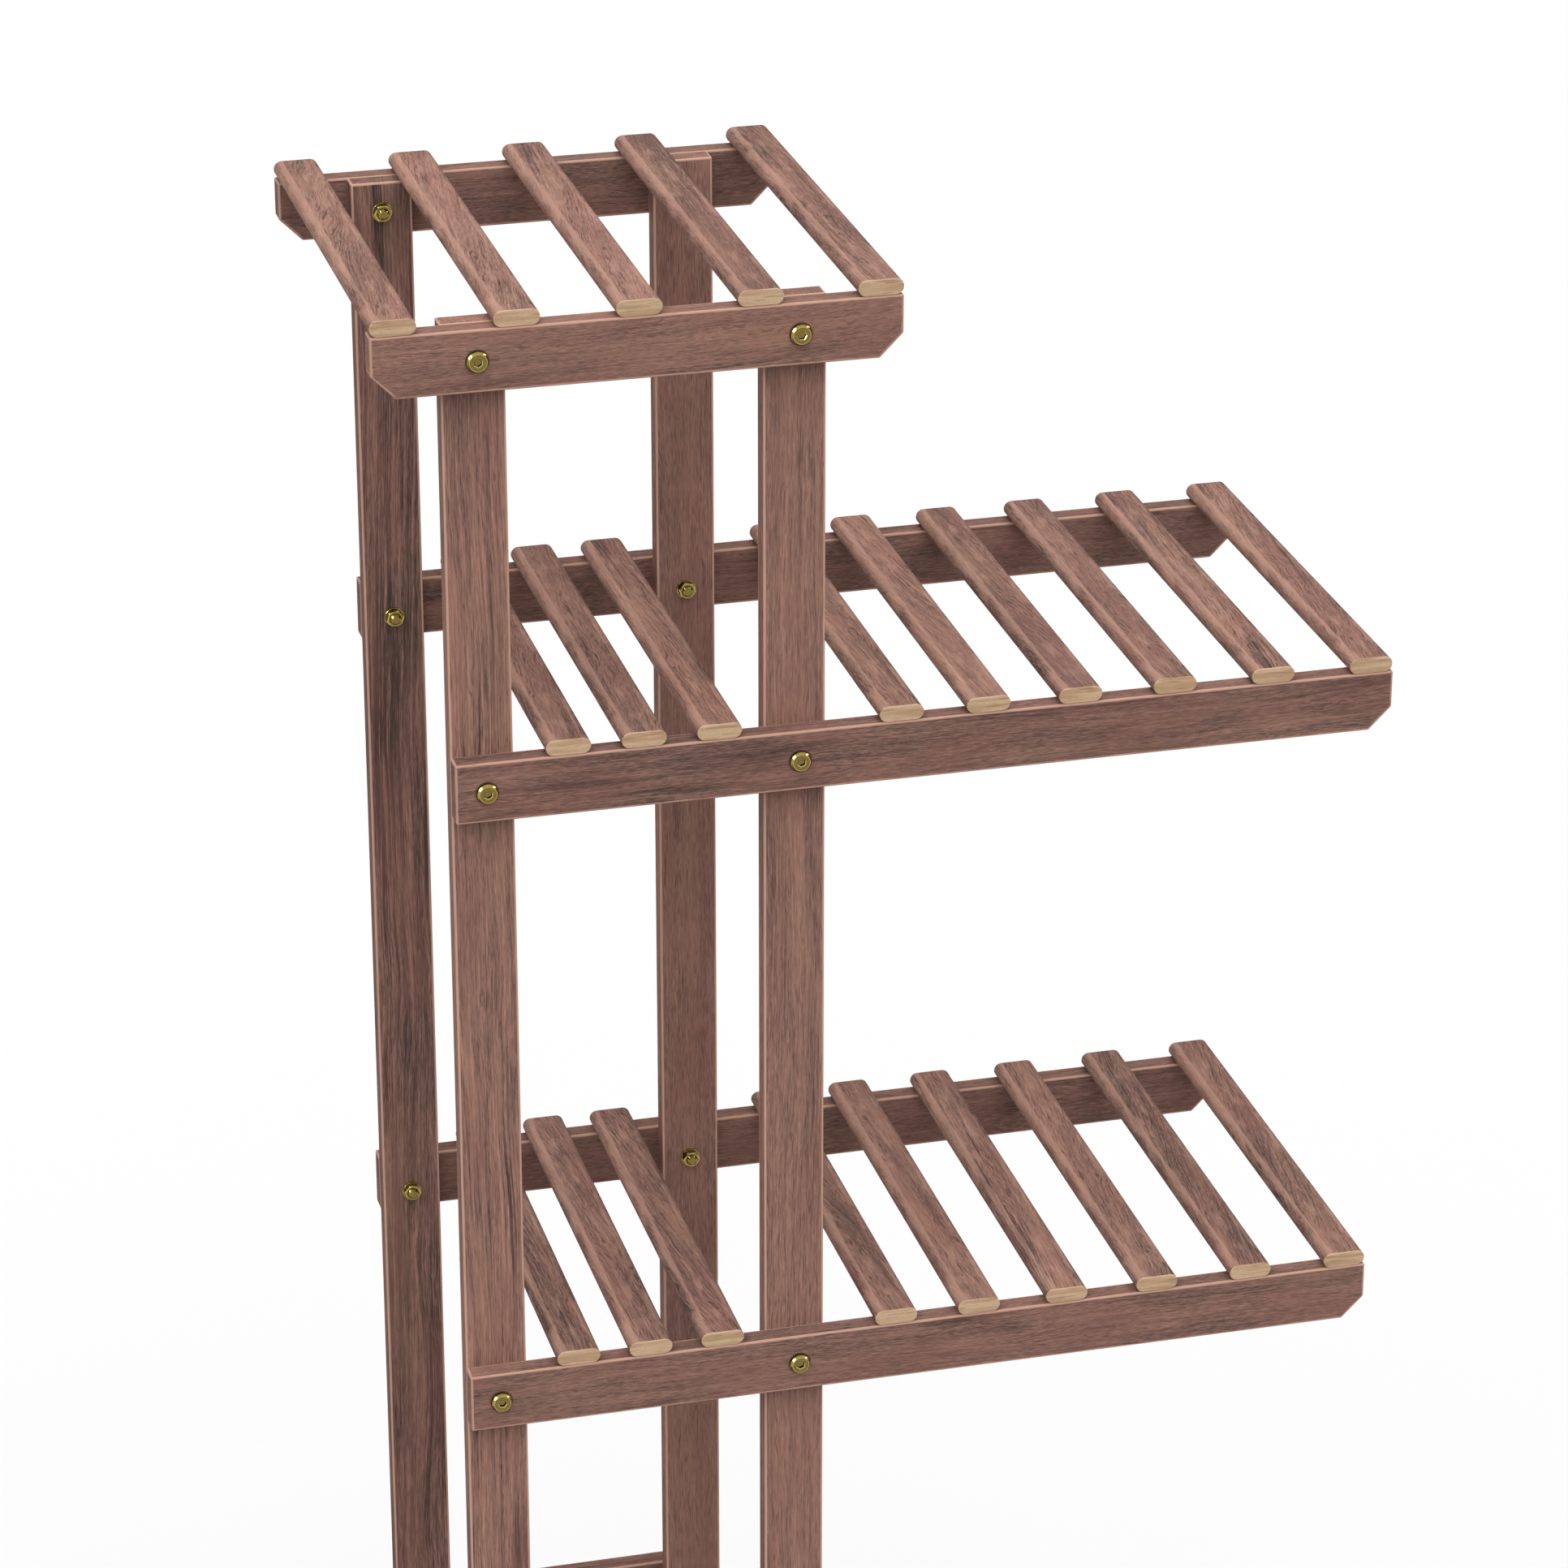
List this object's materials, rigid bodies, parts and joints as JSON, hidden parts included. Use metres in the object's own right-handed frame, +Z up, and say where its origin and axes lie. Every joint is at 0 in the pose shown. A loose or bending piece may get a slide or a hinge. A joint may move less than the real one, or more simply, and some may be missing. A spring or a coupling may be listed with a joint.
{
  "type": "tiered plant stand",
  "caption": "Tall open plant stand: two pairs of flat posts carry slatted tiers that reach to one side and then the other, each on two bolted rails.",
  "frame": {"origin": "on the floor, midway between the four posts, at the bottom centre of the bounding box", "axes": "+X to the right along the tiers, +Y from the front to the rear, +Z up"},
  "size_m": [0.7432, 0.2556, 1.2],
  "materials": {
    "post_wood": "stained and oiled, satin",
    "rail_wood": "stained and oiled, satin",
    "slat_wood": "stained and oiled, satin; the square-cut ends are bare pale wood",
    "bolt_brass": "brass plating, polished, slightly uneven"
  },
  "bodies": {
    "root": {"front_left_post": "post_wood", "front_right_post": "post_wood", "rear_left_post": "post_wood", "rear_right_post": "post_wood", "tier_1_front_rail": "rail_wood", "tier_1_rear_rail": "rail_wood", "tier_1_slat_1": "slat_wood", "tier_1_slat_2": "slat_wood", "tier_1_slat_3": "slat_wood", "tier_1_slat_4": "slat_wood", "tier_1_slat_5": "slat_wood", "tier_2_front_rail": "rail_wood", "tier_2_rear_rail": "rail_wood", "tier_2_slat_1": "slat_wood", "tier_2_slat_2": "slat_wood", "tier_2_slat_3": "slat_wood", "tier_2_slat_4": "slat_wood", "tier_2_slat_5": "slat_wood", "tier_2_slat_6": "slat_wood", "tier_2_slat_7": "slat_wood", "tier_2_slat_8": "slat_wood", "tier_2_slat_9": "slat_wood", "tier_3_front_rail": "rail_wood", "tier_3_rear_rail": "rail_wood", "tier_3_slat_1": "slat_wood", "tier_3_slat_2": "slat_wood", "tier_3_slat_3": "slat_wood", "tier_3_slat_4": "slat_wood", "tier_3_slat_5": "slat_wood", "tier_3_slat_6": "slat_wood", "tier_3_slat_7": "slat_wood", "tier_3_slat_8": "slat_wood", "tier_3_slat_9": "slat_wood", "tier_4_front_rail": "rail_wood", "tier_4_rear_rail": "rail_wood", "tier_4_slat_1": "slat_wood", "tier_4_slat_2": "slat_wood", "tier_4_slat_3": "slat_wood", "tier_4_slat_4": "slat_wood", "tier_4_slat_5": "slat_wood", "tier_4_slat_6": "slat_wood", "tier_5_front_rail": "rail_wood", "tier_5_rear_rail": "rail_wood", "tier_5_slat_1": "slat_wood", "tier_5_slat_2": "slat_wood", "tier_5_slat_3": "slat_wood", "tier_5_slat_4": "slat_wood", "tier_5_slat_5": "slat_wood", "tier_5_slat_6": "slat_wood", "tier_5_slat_7": "slat_wood", "tier_5_slat_8": "slat_wood", "tier_5_slat_9": "slat_wood"}
  },
  "joints": []
}
